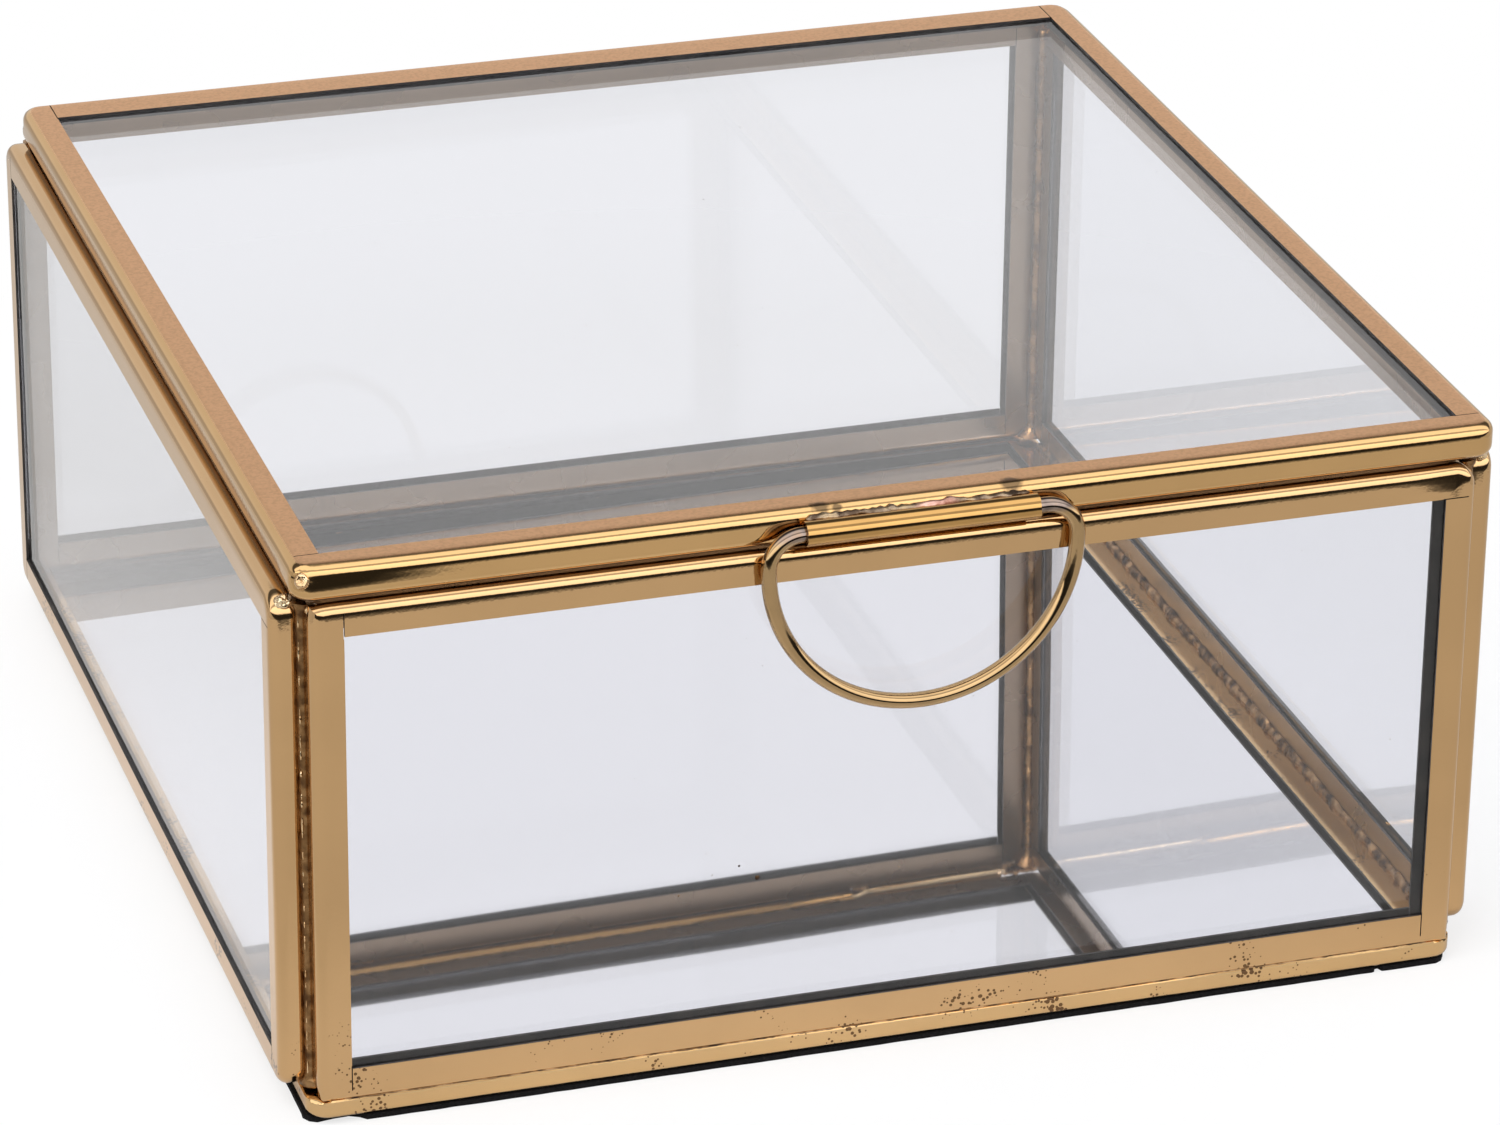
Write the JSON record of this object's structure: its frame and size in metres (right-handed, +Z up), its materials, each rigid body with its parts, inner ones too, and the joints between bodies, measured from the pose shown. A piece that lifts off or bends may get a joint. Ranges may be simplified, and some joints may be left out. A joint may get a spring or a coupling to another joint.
{
  "type": "glass casket box",
  "caption": "Low box of clear panes in soldered brass edging, with a mirror floor, a hinged lid and a hanging D-shaped wire ring pull.",
  "frame": {"origin": "middle of the face the box rests on, midway between the outer faces of its side panels and of its front and back panels", "axes": "+Z up; +Y towards the hinge at the back, so the ring pull is on the -Y side; +X to the right as seen from the front"},
  "size_m": [0.12, 0.1273, 0.0573],
  "materials": {
    "clear_glass": "clear float glass",
    "mirror": "silvered mirror glass",
    "brass_edging": "folded brass sheet, polished and slightly tarnished",
    "brass_tube": "drawn tube, tarnished",
    "brass_wire": "drawn wire, bright",
    "solder": "hand-run solder, browned",
    "black_backing": "thin black felt"
  },
  "bodies": {
    "box": {"front_glass": "clear_glass", "right_glass": "clear_glass", "back_glass": "clear_glass", "left_glass": "clear_glass", "base_mirror": "mirror", "front_edging": "brass_edging", "right_edging": "brass_edging", "back_edging": "brass_edging", "left_edging": "brass_edging", "base_edging": "brass_edging", "corner_solder_front_left": "solder", "corner_solder_front_right": "solder", "corner_solder_back_left": "solder", "corner_solder_back_right": "solder", "base_solder_front": "solder", "base_solder_back": "solder", "base_solder_left": "solder", "base_solder_right": "solder", "front_corner_bead": "solder", "right_corner_bead": "solder", "back_corner_bead": "solder", "left_corner_bead": "solder", "base_backing": "black_backing", "hinge_wire": "brass_wire", "hinge_wire_solder_left": "solder", "hinge_wire_solder_right": "solder"},
    "lid": {"lid_glass": "clear_glass", "lid_edging": "brass_edging", "lid_corner_bead": "solder", "hinge_tube": "brass_tube", "hinge_tube_solder_upper": "solder", "hinge_tube_solder_lower": "solder", "pull_tube": "brass_tube", "pull_tube_solder": "solder"},
    "pull": {"pull_ring": "brass_wire"}
  },
  "joints": [
    {"name": "lid_hinge", "type": "hinge", "parent": "box", "child": "lid", "pos_m": [0, 0.0601, 0.05485], "axis": [-1, 0, 0], "range_deg": [0, 125]},
    {"name": "pull_swing", "type": "hinge", "parent": "lid", "child": "pull", "pos_m": [0, -0.0636, 0.05545], "axis": [-1, 0, 0], "range_deg": [0, 195]}
  ]
}
